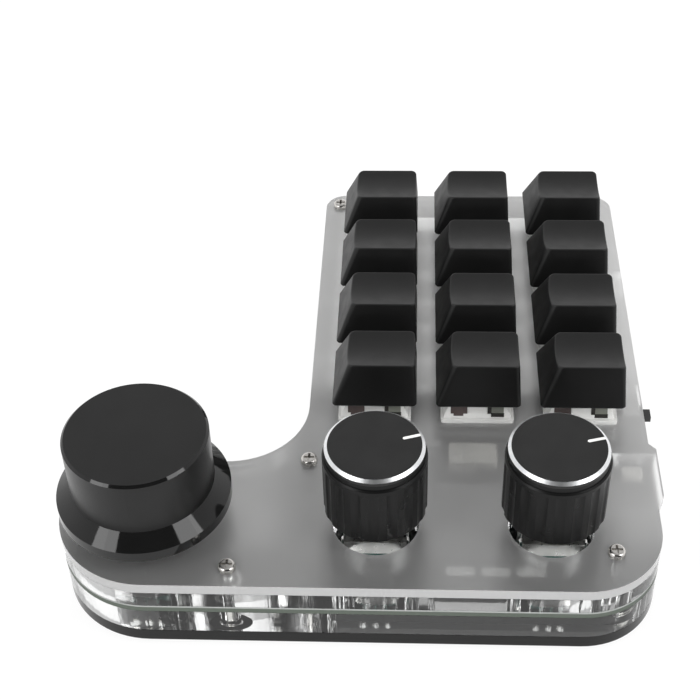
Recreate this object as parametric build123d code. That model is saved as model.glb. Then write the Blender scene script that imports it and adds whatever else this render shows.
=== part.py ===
from build123d import *
import math
import os

# Macro keypad: twelve keys, two small knobs and one large dial on a stack of
# acrylic sheets round a circuit board. Millimetres.
# The drawing is laid out from the centre of the front right key. X runs to
# the user's right, Y away from the user and Z up from the desk. Each solid is
# then shifted so that zero is the middle of the footprint, on the desk.

# Key field
key_pitch_x = 20.0
key_pitch_y = 22.0
key_columns = 4
key_rows = 3

# Outline that the sheets and the board share
left_margin = 14.9
front_margin = 14.25
rear_margin = 13.75
right_edge = 53.0
arm_left_edge = 19.9
foot_radius = 19.2
foot_y = -44.0
left_corner_radius = 5.0
rear_right_radius = 16.0
inner_corner_radius = 16.5
tab_start = 13.4
tab_length = 18.3
tab_depth = 1.45
tab_lead = 1.5
tab_trail = 3.7

# Sheet thicknesses, from the desk up, and the gap that stays between sheets
foot_pad_thickness = 2.0
base_thickness = 3.0
lower_spacer_thickness = 5.95
board_thickness = 1.6
upper_spacer_thickness = 3.85
top_thickness = 2.45
sheet_gap = 0.05

# Rubber feet
foot_pad_radius = 4.0
foot_pad_inset = 14.0

# Windows cut through the two clear spacers
window_wall = 5.5
window_corner_radius = 2.0
column_clearance = 0.25
column_end_clearance = 1.5
chip_window_x = 14.6
chip_window_y = 34.0
chip_window_centre = (16.7, 29.0)
lower_window_reach = 47.0
encoder_hole_radius = 8.7
notch_clearance = 0.6

# M2 screws and standoffs
screw_radius = 1.0
screw_hole_radius = 1.1
screw_head_radius = 1.75
screw_head_height = 1.3
screw_length = 10.0
bottom_screw_length = 6.0
screw_recess_depth = 0.7
screw_recess_width = 0.5
left_screw_inset = 4.6
front_screw_inset = 3.6
rear_screw_inset = 5.7
neck_screw_inset = 0.9
foot_screw_inset = 4.5
foot_screw_drop = 2.9
corner_screw_inset = 9.6
standoff_radius = 2.0
standoff_clearance = 0.1
thread_clearance = 0.03

# Key switch, measured from the top sheet
switch_cutout = 14.0
switch_body = 13.9
switch_flange = 15.6
switch_flange_height = 1.0
switch_depth = 5.0
switch_wall = 1.2
switch_floor = 1.2
switch_top_height = 6.6
switch_top_foot = 14.6
switch_top_width_x = 10.4
switch_top_width_y = 10.0
switch_roof = 1.0
switch_shell = 1.0
guide_outer_radius = 1.65
guide_height = 2.2
centre_pin_radius = 1.95
centre_pin_length = 3.3
board_pin_clearance = 0.1
terminal_radius = 0.5
terminal_hole_radius = 0.65
terminal_reach = 2.3
leaf_width = 2.6
leaf_thickness = 0.4
leaf_height = 3.6
left_terminal = (-3.81, 2.54)
right_terminal = (2.54, 5.08)
key_travel = 4.0
spring_outer_radius = 2.25
spring_wall = 0.35

# Switch stem
slider_x = 7.0
slider_y = 5.4
slider_clearance = 0.2
slider_top = 6.8
slider_bottom = 2.5
shoulder_x = 9.2
shoulder_height = 0.9
shoulder_gap = 0.05
pole_radius = 0.95
pole_length = 5.1
pole_clearance = 0.1
cross_height = 3.6
cross_length = 4.0
cross_arm_x = 1.3
cross_arm_y = 1.1
cross_clearance = 0.02

# Keycap
cap_width = 18.0
cap_height = 8.75
cap_bottom_height = 5.7
cap_top_half_x = 5.65
cap_top_front = 4.7
cap_top_rear = 8.45
cap_side_wall = 1.2
cap_roof = 1.6
cap_edge_radius = 0.9
cap_scoop_depth = 0.65
cap_post_radius = 2.6
cap_post_gap = 0.05

# Rotary encoders
encoder_x = 36.0
knob_1_y = 1.0
knob_pitch = 35.0
dial_x = 34.0
dial_y = -45.2
encoder_size_x = 11.7
encoder_size_y = 12.2
encoder_height = 7.0
encoder_frame_thickness = 1.4
encoder_base_wall = 1.0
encoder_base_floor = 1.0
bushing_radius = 3.5
bushing_height = 6.5
bushing_thread_depth = 0.25
bushing_thread_pitch = 0.75
lug_width = 2.2
lug_thickness = 0.5
shaft_radius = 3.0
shaft_clearance = 0.05
shaft_roof = 0.8
dial_shaft_roof = 3.4
shaft_flat_depth = 1.5
shaft_flat_length = 12.0
shaft_neck_radius = 2.2
neck_flat = 0.6
rotor_radius = 4.4
rotor_thickness = 1.2
rotor_rest = 0.3
rotor_gaps = 20
dome_radius = 2.4
dome_height = 0.8
push_travel = 0.5
encoder_pin_radius = 0.4
encoder_pin_pitch = 2.5
encoder_pin_row = 7.3
encoder_switch_pin_pitch = 5.0
encoder_pin_reach = 1.6
encoder_pin_hole = 0.55

# Small fluted knobs
knob_gap_above_top = 5.4
knob_body_height = 14.3
knob_radius = 10.2
knob_band_radius = 9.75
knob_band_height = 1.0
knob_edge = 0.35
knob_wall = 1.7
knob_roof = 3.0
knob_boss_radius = 4.6
knob_boss_start = 9.6
knob_flutes = 18
flute_depth = 0.28
flute_width = 2.3
cap_disc_radius = 9.65
cap_disc_height = 1.35
cap_disc_spigot = 0.8
cap_disc_spigot_radius = 7.5
cap_disc_bevel = 0.75
pointer_length = 4.3
pointer_width = 0.85
pointer_depth = 0.15
pointer_turn_1 = 20.0
pointer_turn_2 = 17.0
fit_gap = 0.03

# Large dial
dial_gap_above_top = 5.0
dial_rim_radius = 17.4
dial_rim_height = 2.3
dial_cone_height = 2.6
dial_radius = 14.3
dial_height = 17.5
dial_top_bevel = 0.5
dial_recess_radius = 12.4
dial_recess_depth = 5.2
set_screw_radius = 1.5
set_screw_length = 5.0
set_screw_height = 8.6
hex_socket_across = 1.5
hex_socket_depth = 1.8

# Battery under the board
battery_x = 20.0
battery_y = 44.0
battery_z = 4.0
battery_left = 20.5
battery_front = -2.5
battery_corner = 1.2
battery_head_length = 2.6
battery_seat_gap = 0.1
lead_radius = 0.55
lead_spacing = 2.0
lead_shift = 2.4
plug_x = 5.6
plug_y = 4.4
plug_z = 3.4
plug_y_start = 47.2
lead_bend_radius = 0.7
lead_straight = 1.7
lead_offset = 3.0

# USB socket at the rear edge
usb_x = -41.0
usb_width = 8.94
usb_height = 3.2
usb_depth = 6.9
usb_wall = 0.3
usb_tongue_x = 6.6
usb_tongue_z = 0.7
usb_tongue_depth = 5.2
usb_overhang = 0.4

# Slide switch at the rear edge
slide_x = -1.3
slide_length = 8.6
slide_depth = 3.6
slide_height = 3.5
slide_wall = 0.4
slide_slot_height = 1.6
slide_travel = 3.0
lever_width = 2.6
lever_reach = 2.4
lever_foot_width = 3.6
lever_foot_depth = 2.0
lever_foot_height = 2.3
lever_height = 1.3
lever_clearance = 0.05

# Board components: x, y, length along x, length along y, height
top_side_parts = [
    (12.5, 20.5, 5.0, 10.0, 1.6),
    (19.5, 34.0, 7.0, 7.0, 0.9),
    (12.6, 35.0, 3.2, 2.5, 0.8),
    (20.0, 24.0, 5.0, 4.0, 1.5),
    (19.2, 17.0, 3.2, 1.6, 0.9),
    (18.6, 53.9, 5.0, 4.2, 1.8),
    (25.6, 53.9, 6.4, 3.6, 0.9),
]
under_side_parts = [
    (29.8, 49.4, 2.8, 3.5, 1.9),
    (14.0, 46.5, 7.0, 7.0, 0.9),
    (5.2, 49.6, 3.0, 2.2, 1.2),
    (11.4, -3.0, 3.2, 1.6, 1.0),
]
diode_drop = 6.5
diode_x = 3.6
diode_y = 1.6
diode_height = 1.1

# Heights of the sheets above the desk
base_z = foot_pad_thickness
lower_z = base_z + base_thickness + sheet_gap
board_z = lower_z + lower_spacer_thickness + sheet_gap
board_top_z = board_z + board_thickness
upper_z = board_top_z + sheet_gap
top_z = upper_z + upper_spacer_thickness + sheet_gap
deck_z = top_z + top_thickness

# Edges of the outline, worked out from the key field
left_edge = -(key_columns - 1) * key_pitch_x - left_margin
front_edge = -front_margin
rear_edge = (key_rows - 1) * key_pitch_y + rear_margin
foot_x = right_edge - foot_radius
lever_tip = rear_edge + lever_reach
centre_x = (left_edge + right_edge) / 2
centre_y = (foot_y - foot_radius + lever_tip) / 2

# Places that several parts share
screw_places = [
    (left_edge + left_screw_inset, front_edge + front_screw_inset),
    (left_edge + left_screw_inset, rear_edge - rear_screw_inset),
    (arm_left_edge - 0.3, front_edge + neck_screw_inset),
    (right_edge - foot_screw_inset, foot_y + foot_radius - foot_screw_drop),
    (right_edge - corner_screw_inset, rear_edge - corner_screw_inset),
]
encoder_places = [
    (dial_x, dial_y),
    (encoder_x, knob_1_y),
    (encoder_x, knob_1_y + knob_pitch),
]
key_places = [
    (row + 1, column + 1, (column - key_columns + 1) * key_pitch_x, row * key_pitch_y)
    for row in range(key_rows)
    for column in range(key_columns)
]
window_left = -(key_columns - 1) * key_pitch_x - switch_flange / 2
window_front = -switch_flange / 2 - 0.7
window_rear = rear_edge - window_wall


def write(name, solids):
    """Write one node: a solid, or a group of separate solids."""
    if not isinstance(solids, list):
        solids = [solids]
    placed = [Pos(-centre_x, -centre_y, 0) * solid for solid in solids]
    shape = placed[0] if len(placed) == 1 else Compound(children=placed)
    shape.label = name
    export_step(shape, os.path.join("parts", name + ".step"))


def block(x0, y0, z0, x1, y1, z1):
    """A box between two corners."""
    size = Box(x1 - x0, y1 - y0, z1 - z0)
    return Pos((x0 + x1) / 2, (y0 + y1) / 2, (z0 + z1) / 2) * size


def rod(x, y, z0, z1, radius):
    """An upright cylinder between two heights."""
    return Pos(x, y, (z0 + z1) / 2) * Cylinder(radius, z1 - z0)


def rounded_block(x0, y0, x1, y1, z0, z1, radius):
    """A box with its upright edges rounded."""
    face = Pos((x0 + x1) / 2, (y0 + y1) / 2, z0) * RectangleRounded(x1 - x0, y1 - y0, radius)
    return extrude(face, z1 - z0)


def round_corner(face, x, y, radius):
    """Round the corner of a flat outline that lies nearest to a point."""
    corner = face.vertices().sort_by_distance((x, y, 0))[0]
    return fillet(corner, radius)


def outline():
    """The L-shaped outline with its round foot and the small tab at the rear."""
    tab_end = tab_start + tab_length
    tab_edge = rear_edge + tab_depth
    points = [
        (left_edge, front_edge),
        (arm_left_edge, front_edge),
        (arm_left_edge, foot_y),
        (right_edge, foot_y),
        (right_edge, rear_edge),
        (tab_end, rear_edge),
        (tab_end - tab_trail, tab_edge),
        (tab_start + tab_lead, tab_edge),
        (tab_start, rear_edge),
        (left_edge, rear_edge),
    ]
    face = make_face(Polyline(*points, close=True))
    face = round_corner(face, left_edge, front_edge, left_corner_radius)
    face = round_corner(face, left_edge, rear_edge, left_corner_radius)
    face = round_corner(face, right_edge, rear_edge, rear_right_radius)
    face = round_corner(face, arm_left_edge, front_edge, inner_corner_radius)
    return face + Pos(foot_x, foot_y) * Circle(foot_radius)


def sheet(z, thickness, hole_radius):
    """One full sheet of the stack with the five screw holes."""
    solid = extrude(Pos(0, 0, z) * outline(), thickness)
    for x, y in screw_places:
        solid -= rod(x, y, z - 1, z + thickness + 1, hole_radius)
    return solid


def top_plate():
    solid = sheet(top_z, top_thickness, screw_hole_radius)
    half = switch_cutout / 2
    for _, _, x, y in key_places:
        solid -= block(x - half, y - half, top_z - 1, x + half, y + half, deck_z + 1)
    for x, y in encoder_places:
        solid -= rod(x, y, top_z - 1, deck_z + 1, encoder_hole_radius)
    return solid


def upper_spacer():
    solid = sheet(upper_z, upper_spacer_thickness, screw_hole_radius)
    for column in range(key_columns):
        size_y = (key_rows - 1) * key_pitch_y + switch_body + 2 * column_end_clearance
        solid -= window(-column * key_pitch_x, (key_rows - 1) * key_pitch_y / 2,
                        switch_body + 2 * column_clearance, size_y)
    solid -= window(*chip_window_centre, chip_window_x, chip_window_y)
    for x, y in encoder_places:
        solid -= rod(x, y, upper_z - 1, top_z, encoder_hole_radius)
    rear = rear_edge + tab_depth + 1
    for x0, x1 in rear_notches():
        solid -= block(x0, window_rear - 2, upper_z - 1, x1, rear, top_z)
    return solid


def window(x, y, size_x, size_y):
    """A rounded window through the upper spacer."""
    return rounded_block(x - size_x / 2, y - size_y / 2, x + size_x / 2, y + size_y / 2,
                         upper_z - 1, top_z, window_corner_radius)


def rear_notches():
    """Stretches of the rear wall that are open for the socket, the slide switch and the tab."""
    half_usb = usb_width / 2 + notch_clearance
    half_slide = slide_length / 2 + notch_clearance
    return [
        (usb_x - half_usb, usb_x + half_usb),
        (slide_x - half_slide, slide_x + half_slide),
        (tab_start + tab_lead, tab_start + tab_length - tab_lead),
    ]


def lower_spacer():
    solid = sheet(lower_z, lower_spacer_thickness, standoff_radius + standoff_clearance)
    solid -= rounded_block(window_left, window_front, lower_window_reach, window_rear,
                           lower_z - 1, board_z, window_corner_radius)
    x, y = encoder_places[0]
    return solid - rod(x, y, lower_z - 1, board_z, encoder_hole_radius)


def base_plate():
    return sheet(base_z, base_thickness, screw_hole_radius)


def switch_pin_places():
    """The two terminals of each key switch."""
    for _, _, x, y in key_places:
        yield x + left_terminal[0], y + left_terminal[1]
        yield x + right_terminal[0], y + right_terminal[1]


def encoder_pin_places():
    """The three contacts on the right and the two switch pins on the left of each encoder."""
    for x, y in encoder_places:
        for step in (-1, 0, 1):
            yield x + encoder_pin_row, y + step * encoder_pin_pitch, 1
        for side in (-1, 1):
            yield x - encoder_pin_row, y + side * encoder_switch_pin_pitch / 2, -1


def circuit_board():
    solid = sheet(board_z, board_thickness, screw_hole_radius)
    low = board_z - 1
    high = board_top_z + 1
    for _, _, x, y in key_places:
        solid -= rod(x, y, low, high, centre_pin_radius + board_pin_clearance)
    for x, y in switch_pin_places():
        solid -= rod(x, y, low, high, terminal_hole_radius)
    for x, y, _ in encoder_pin_places():
        solid -= rod(x, y, low, high, encoder_pin_hole)
    for x, y in encoder_places:
        for side in (-1, 1):
            solid -= lug(x, y, side, low, high, 0.1)
    return solid


def lug(x, y, side, z0, z1, grow):
    """One bent lug of an encoder frame, or with grow its hole in the board."""
    y0 = y + side * (encoder_size_y / 2 + lug_thickness / 2)
    half_x = lug_width / 2 + grow
    half_y = lug_thickness / 2 + grow
    return block(x - half_x, y0 - half_y, z0, x + half_x, y0 + half_y, z1)


def rubber_feet():
    inset = foot_pad_inset
    places = [
        (left_edge + inset, front_edge + inset),
        (left_edge + inset, rear_edge - inset),
        (foot_x, rear_edge - inset),
        (foot_x, front_edge + inset),
        (foot_x, foot_y),
    ]
    feet = []
    for x, y in places:
        pad = rod(x, y, 0, foot_pad_thickness - sheet_gap, foot_pad_radius)
        feet.append(chamfer(pad.edges().group_by(Axis.Z)[0], 0.4))
    return feet


def cross_recess(x, y, z, down):
    """The cross recess of a screw head that faces up, or down when down is true."""
    arm = screw_head_radius * 0.62
    z0, z1 = (z - 1, z + screw_recess_depth) if down else (z - screw_recess_depth, z + 1)
    half = screw_recess_width / 2
    along_x = block(x - arm, y - half, z0, x + arm, y + half, z1)
    along_y = block(x - half, y - arm, z0, x + half, y + arm, z1)
    return along_x + along_y


def top_screws():
    screws = []
    for x, y in screw_places:
        head = rod(x, y, deck_z + 0.02, deck_z + screw_head_height, screw_head_radius)
        head = fillet(head.edges().group_by(Axis.Z)[-1], screw_head_height * 0.5)
        shank = rod(x, y, deck_z - screw_length, deck_z + 0.3, screw_radius)
        head -= cross_recess(x, y, deck_z + screw_head_height, False)
        screws.append(head + shank)
    return screws


def bottom_screws():
    screws = []
    for x, y in screw_places:
        head = rod(x, y, base_z - screw_head_height, base_z - 0.02, screw_head_radius)
        head = fillet(head.edges().group_by(Axis.Z)[0], screw_head_height * 0.5)
        shank = rod(x, y, base_z - 0.3, base_z + bottom_screw_length, screw_radius)
        head -= cross_recess(x, y, base_z - screw_head_height, True)
        screws.append(head + shank)
    return screws


def standoffs():
    posts = []
    for x, y in screw_places:
        post = rod(x, y, lower_z, board_z - sheet_gap, standoff_radius)
        posts.append(post - rod(x, y, lower_z - 1, board_z, screw_radius + thread_clearance))
    return posts


def switch_bottom_housing(x, y):
    """The lower half of a key switch, with its flange, guide tube and centre pin."""
    half = switch_body / 2
    flange = switch_flange / 2
    inner = half - switch_wall
    low = deck_z - switch_depth
    high = deck_z + switch_flange_height
    solid = block(x - half, y - half, low, x + half, y + half, deck_z)
    solid += rounded_block(x - flange, y - flange, x + flange, y + flange, deck_z, high, 0.6)
    solid -= block(x - inner, y - inner, low + switch_floor, x + inner, y + inner, high + 1)
    solid += rod(x, y, low, low + switch_floor + guide_height, guide_outer_radius)
    solid += rod(x, y, low - centre_pin_length, low + 0.5, centre_pin_radius)
    pole_foot = deck_z + slider_bottom - pole_length - key_travel
    solid -= rod(x, y, pole_foot - 0.2, high + 1, pole_radius + pole_clearance)
    for dx, dy in (left_terminal, right_terminal):
        solid -= rod(x + dx, y + dy, low - 1, low + switch_floor + 1, terminal_hole_radius)
    return solid


def switch_terminals(x, y):
    """The two contact leaves of a key switch, each with its solder pin."""
    floor = deck_z - switch_depth + switch_floor
    wall = switch_body / 2 - switch_wall - 0.15
    solids = []
    for dx, dy in (left_terminal, right_terminal):
        pin = rod(x + dx, y + dy, board_z - 0.7, floor + 0.6, terminal_radius)
        y0 = y + wall - leaf_thickness
        leaf = block(x + dx - leaf_width / 2, y0, floor + 0.1,
                     x + dx + leaf_width / 2, y0 + leaf_thickness, floor + leaf_height)
        foot = block(x + dx - 0.4, y + dy - 0.3, floor + 0.1,
                     x + dx + 0.4, y0 + leaf_thickness, floor + 0.5)
        solids.append(pin + foot + leaf)
    return solids


def frustum(x, y, z0, z1, low_x, low_y, high_x, high_y):
    """A straight-sided block that narrows from its foot to its top."""
    low = Pos(x, y, z0) * Rectangle(low_x, low_y)
    high = Pos(x, y, z1) * Rectangle(high_x, high_y)
    return loft([low, high])


def switch_top_housing(x, y):
    """The upper half of a key switch, a tapered hood with the stem's opening."""
    low = deck_z + switch_flange_height + 0.02
    high = deck_z + switch_top_height
    shell = 2 * switch_shell
    solid = frustum(x, y, low, high, switch_top_foot, switch_top_foot,
                    switch_top_width_x, switch_top_width_y)
    solid -= frustum(x, y, low - 0.001, high - switch_roof,
                     switch_top_foot - shell, switch_top_foot - shell,
                     switch_top_width_x - shell * 0.4, switch_top_width_y - shell * 0.4)
    half_x = slider_x / 2 + slider_clearance
    half_y = slider_y / 2 + slider_clearance
    return solid - block(x - half_x, y - half_y, low, x + half_x, y + half_y, high + 1)


def switch_spring(x, y):
    """The coil spring's envelope, seated on the switch floor round the guide tube."""
    low = deck_z - switch_depth + switch_floor + 0.02
    high = deck_z + slider_bottom - 0.05
    tube = rod(x, y, low, high, spring_outer_radius)
    return tube - rod(x, y, low - 1, high + 1, spring_outer_radius - spring_wall)


def cross(x, y, z0, z1, grow):
    """The cross on top of a stem, or with grow the slot that it fits."""
    half = cross_length / 2 + grow
    arm_x = cross_arm_x / 2 + grow
    arm_y = cross_arm_y / 2 + grow
    along_x = block(x - half, y - arm_y, z0, x + half, y + arm_y, z1)
    along_y = block(x - arm_x, y - half, z0, x + arm_x, y + half, z1)
    return along_x + along_y


def stem(x, y):
    """The sliding stem: slider, two shoulders, guide pole and cross."""
    top = deck_z + slider_top
    bottom = deck_z + slider_bottom
    roof_under = deck_z + switch_top_height - switch_roof
    solid = block(x - slider_x / 2, y - slider_y / 2, bottom, x + slider_x / 2, y + slider_y / 2, top)
    shoulder_top = roof_under - shoulder_gap
    solid += block(x - shoulder_x / 2, y - slider_y / 2 + 0.6, shoulder_top - shoulder_height,
                   x + shoulder_x / 2, y + slider_y / 2 - 0.6, shoulder_top)
    solid += rod(x, y, bottom - pole_length, bottom + 1, pole_radius)
    return solid + cross(x, y, top - 0.5, top + cross_height, 0)


def cap_face(z, half_x, front, rear, radius):
    """A rounded cross-section of the keycap at one height."""
    middle = (rear - front) / 2
    return Pos(0, middle, z) * RectangleRounded(2 * half_x, front + rear, radius)


def keycap(x, y):
    """A hollow keycap: upright rear, sloping front, scooped top and a cross post."""
    half = cap_width / 2
    wall = cap_side_wall
    outer = loft([cap_face(0, half, half, half, cap_edge_radius),
                  cap_face(cap_height, cap_top_half_x, cap_top_front, cap_top_rear, 1.4)])
    scoop_radius = (cap_top_half_x ** 2 + cap_scoop_depth ** 2) / (2 * cap_scoop_depth)
    scoop = Rot(90, 0, 0) * Cylinder(scoop_radius, 3 * cap_width)
    outer -= Pos(0, 0, cap_height + scoop_radius - cap_scoop_depth) * scoop
    ceiling = cap_height - cap_roof
    share = ceiling / cap_height
    in_x = half + (cap_top_half_x - half) * share - wall
    in_front = half + (cap_top_front - half) * share - wall
    in_rear = half + (cap_top_rear - half) * share - wall
    outer -= loft([cap_face(-0.001, half - wall, half - wall, half - wall, 0.5),
                   cap_face(ceiling, in_x, in_front, in_rear, 0.5)])
    slider_rise = slider_top - cap_bottom_height
    post_low = slider_rise + cap_post_gap
    outer += rod(0, 0, post_low, ceiling + 0.2, cap_post_radius)
    outer -= cross(0, 0, post_low - 1, slider_rise + cross_height + 0.1, cross_clearance)
    return Pos(x, y, deck_z + cap_bottom_height) * outer


def encoder_frame(x, y):
    """The die-cast frame of an encoder: top plate, threaded bushing and two lugs."""
    high = board_top_z + encoder_height
    low = high - encoder_frame_thickness
    half_x = encoder_size_x / 2
    half_y = encoder_size_y / 2
    solid = block(x - half_x, y - half_y, low, x + half_x, y + half_y, high)
    solid += rod(x, y, high - 0.2, high + bushing_height, bushing_radius)
    turns = int((bushing_height - 1.2) / bushing_thread_pitch)
    for turn in range(turns):
        z = high + 0.9 + turn * bushing_thread_pitch
        groove = rod(x, y, z, z + bushing_thread_pitch / 2, bushing_radius + 1)
        groove -= rod(x, y, z - 1, z + 1, bushing_radius - bushing_thread_depth)
        solid -= groove
    for side in (-1, 1):
        solid += lug(x, y, side, board_z - 0.8, high, 0)
        edge = y + side * half_y
        solid += block(x - lug_width / 2, min(edge, edge + side * lug_thickness), low,
                       x + lug_width / 2, max(edge, edge + side * lug_thickness), high)
    return solid - rod(x, y, low - 1, high + bushing_height + 1, shaft_radius + shaft_clearance)


def encoder_base(x, y):
    """The moulded cup of an encoder, which holds the rotor and the push contact."""
    low = board_top_z + 0.02
    high = board_top_z + encoder_height - encoder_frame_thickness - 0.02
    half_x = encoder_size_x / 2 - 0.1
    half_y = encoder_size_y / 2 - 0.1
    cup = half_x - encoder_base_wall
    solid = block(x - half_x, y - half_y, low, x + half_x, y + half_y, high)
    solid -= rod(x, y, low + encoder_base_floor, high + 1, cup)
    solid += rod_ring(x, y, low + encoder_base_floor, rotor_low() - rotor_rest,
                      rotor_radius, dome_radius + 0.3)
    return solid


def rod_ring(x, y, z0, z1, outer, inner):
    """An upright ring."""
    return rod(x, y, z0, z1, outer) - rod(x, y, z0 - 1, z1 + 1, inner)


def rotor_low():
    """Height of the underside of the encoder's rotor."""
    return board_top_z + encoder_height - encoder_frame_thickness - rotor_rest - rotor_thickness


def flat_rod(x, y, z0, z1, radius, flat):
    """An upright rod with one flat on its left side, flat being the depth removed."""
    solid = rod(x, y, z0, z1, radius)
    return solid - block(x - radius - 1, y - radius - 1, z0 - 1, x - radius + flat, y + radius + 1, z1 + 1)


def encoder_rotor(x, y):
    """The contact disc that turns with the shaft while the shaft slides through it."""
    low = rotor_low()
    disc = rod(x, y, low, low + rotor_thickness, rotor_radius)
    gap = block(rotor_radius - 0.4, -0.25, low - 1, rotor_radius + 1, 0.25, low + 3)
    for k in range(rotor_gaps):
        disc -= Pos(x, y, 0) * Rot(0, 0, 360 / rotor_gaps * k) * gap
    hole = flat_rod(x, y, low - 1, low + rotor_thickness + 1,
                    shaft_neck_radius + shaft_clearance, neck_flat)
    return disc - hole


def dome_top():
    """Height of the top of the push contact under the shaft."""
    return board_top_z + 0.02 + encoder_base_floor + 0.02 + dome_height


def encoder_dome(x, y):
    """The domed push contact on the encoder's floor."""
    low = dome_top() - dome_height
    ball_radius = (dome_radius ** 2 + dome_height ** 2) / (2 * dome_height)
    ball = Pos(x, y, low + dome_height - ball_radius) * Sphere(ball_radius)
    return ball & rod(x, y, low, low + 1, dome_radius)


def knob_shaft_top():
    """Height of the top of a small knob's shaft, just under the cap's spigot."""
    knob_top = deck_z + knob_gap_above_top + knob_body_height + knob_band_height
    return knob_top - cap_disc_spigot - shaft_roof


def dial_shaft_top():
    """Height of the top of the dial's shaft."""
    return deck_z + dial_gap_above_top + dial_height - dial_shaft_roof


def encoder_shaft(x, y, top):
    """The plain shaft with its flat at the top and the neck that turns the rotor."""
    shoulder = board_top_z + encoder_height - encoder_frame_thickness
    solid = rod(x, y, shoulder + push_travel + 0.1, top, shaft_radius)
    solid += flat_rod(x, y, dome_top() + push_travel + 0.05, shoulder + 1, shaft_neck_radius, neck_flat)
    flat = block(x - shaft_radius - 1, y - shaft_radius - 1, top - shaft_flat_length,
                 x - shaft_radius + shaft_flat_depth, y + shaft_radius + 1, top + 1)
    solid -= flat
    return chamfer(solid.edges().group_by(Axis.Z)[-1], 0.3)


def encoder_terminals():
    """The five bent pins of each encoder, from its base out and down through the board."""
    solids = []
    z = board_top_z + 0.5
    for x, y, side in encoder_pin_places():
        body_x = x - side * (encoder_pin_row - encoder_size_x / 2 + 0.05)
        pin = rod(x, y, board_z - encoder_pin_reach, z + 0.3, encoder_pin_radius)
        reach = block(min(body_x, x), y - 0.4, z - 0.25, max(body_x, x), y + 0.4, z + 0.25)
        solids.append(pin + reach)
    return solids


def knob_bore(x, y, z0, z1):
    """The flat-sided bore that fits the shaft."""
    return flat_rod(x, y, z0, z1, shaft_radius + fit_gap, shaft_flat_depth)


def knob(x, y):
    """A small knob body: fluted skirt, band under the cap, hollow with a bored boss."""
    low = deck_z + knob_gap_above_top
    step = low + knob_body_height
    top = step + knob_band_height
    body = rod(x, y, low, step, knob_radius)
    body = chamfer(body.edges().group_by(Axis.Z)[-1], knob_edge)
    body = chamfer(body.edges().group_by(Axis.Z)[0], knob_edge)
    flute_radius = (flute_width ** 2 / 4 + flute_depth ** 2) / (2 * flute_depth)
    for k in range(knob_flutes):
        turn = math.radians(360 / knob_flutes * k)
        away = knob_radius - flute_depth + flute_radius
        body -= rod(x + away * math.cos(turn), y + away * math.sin(turn),
                    low - 1, step - 1.2, flute_radius)
    body += rod(x, y, step - 0.5, top, knob_band_radius)
    body -= rod(x, y, low - 1, step - knob_roof, knob_radius - knob_wall)
    body += rod(x, y, low + knob_boss_start - knob_gap_above_top, step, knob_boss_radius)
    body -= knob_bore(x, y, low - 1, knob_shaft_top() + fit_gap)
    return body - rod(x, y, top - cap_disc_spigot - fit_gap, top + 1, cap_disc_spigot_radius + fit_gap)


def knob_cap(x, y, turn):
    """The bevelled metal disc on a small knob, with its engraved pointer line."""
    top = deck_z + knob_gap_above_top + knob_body_height + knob_band_height
    disc = rod(x, y, top + 0.02, top + cap_disc_height, cap_disc_radius)
    disc = chamfer(disc.edges().group_by(Axis.Z)[-1], cap_disc_bevel)
    disc += rod(x, y, top - cap_disc_spigot, top + 0.5, cap_disc_spigot_radius)
    reach = cap_disc_radius - cap_disc_bevel
    high = top + cap_disc_height
    line = block(reach - pointer_length, -pointer_width / 2, high - pointer_depth,
                 reach + 0.05, pointer_width / 2, high + 1)
    return disc - Pos(x, y, 0) * Rot(0, 0, 90 + turn) * line


def dial(x, y):
    """The large dial: upright rim, conical skirt and straight grip, recessed below."""
    low = deck_z + dial_gap_above_top
    high = low + dial_height
    skirt = low + dial_rim_height
    grip = skirt + dial_cone_height
    profile = Polyline((0, low), (dial_rim_radius, low), (dial_rim_radius, skirt),
                       (dial_radius, grip), (dial_radius, high - dial_top_bevel),
                       (dial_radius - dial_top_bevel, high), (0, high), close=True)
    solid = revolve(Plane.XZ * make_face(profile), Axis.Z)
    solid = Pos(x, y, 0) * solid
    solid -= rod(x, y, low - 1, low + dial_recess_depth, dial_recess_radius)
    solid -= knob_bore(x, y, low - 1, dial_shaft_top() + fit_gap)
    hole = Rot(0, 90, 0) * Cylinder(set_screw_radius + thread_clearance, dial_radius + 2)
    screw_z = low + set_screw_height
    return solid - Pos(x - (dial_radius + 2) / 2 - 1, y, screw_z) * hole


def dial_set_screw(x, y):
    """The grub screw that holds the dial on the flat of its shaft."""
    screw_z = deck_z + dial_gap_above_top + set_screw_height
    tip = x - shaft_radius + shaft_flat_depth - fit_gap
    body = Pos(tip - set_screw_length / 2, y, screw_z) * Rot(0, 90, 0) * Cylinder(
        set_screw_radius, set_screw_length)
    face = Plane((tip - set_screw_length, y, screw_z), z_dir=(1, 0, 0))
    socket = extrude(face * RegularPolygon(hex_socket_across / 2, 6, major_radius=False),
                     hex_socket_depth)
    return body - socket


def battery():
    """The flat pouch cell with its taped head, lying on the base."""
    low = lower_z + battery_seat_gap
    right = battery_left + battery_x
    rear = battery_front + battery_y
    pouch = block(battery_left, battery_front, low, right, rear - battery_head_length, low + battery_z)
    pouch = fillet(pouch.edges().filter_by(Axis.Y), battery_corner)
    head_low = low + battery_z * 0.2
    head = block(battery_left + 1.5, rear - battery_head_length - 0.5, head_low,
                 right - 1.5, rear, low + battery_z * 0.8)
    return pouch + head


def plug_low():
    """Height of the underside of the battery plug, which hangs under the board."""
    return board_z - 0.05 - plug_z


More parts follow.
